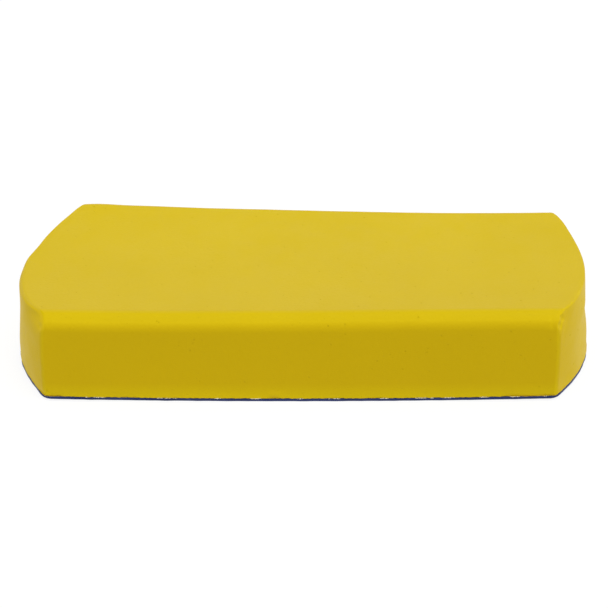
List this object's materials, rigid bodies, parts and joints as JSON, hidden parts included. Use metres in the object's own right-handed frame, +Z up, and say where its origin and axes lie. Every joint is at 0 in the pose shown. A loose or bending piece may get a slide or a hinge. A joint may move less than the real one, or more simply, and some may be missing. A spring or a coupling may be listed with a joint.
{
  "type": "grout float",
  "caption": "Handle-less block grout float: a yellow closed-cell foam grip block with rounded long top edges, bonded to a thin navy blue rubber working face.",
  "frame": {"origin": "centre of the working face, on its underside, which rests on the floor", "axes": "+X along the length, +Y across the width away from the viewer, +Z up from the working face to the top of the grip"},
  "size_m": [0.24, 0.1006, 0.039],
  "materials": {
    "foam": "matte",
    "face_rubber": "satin",
    "adhesive": "satin"
  },
  "bodies": {
    "root": {"grip_block": "foam", "adhesive_film": "adhesive", "glue_beads": "adhesive", "face_sheet": "face_rubber"}
  },
  "joints": []
}
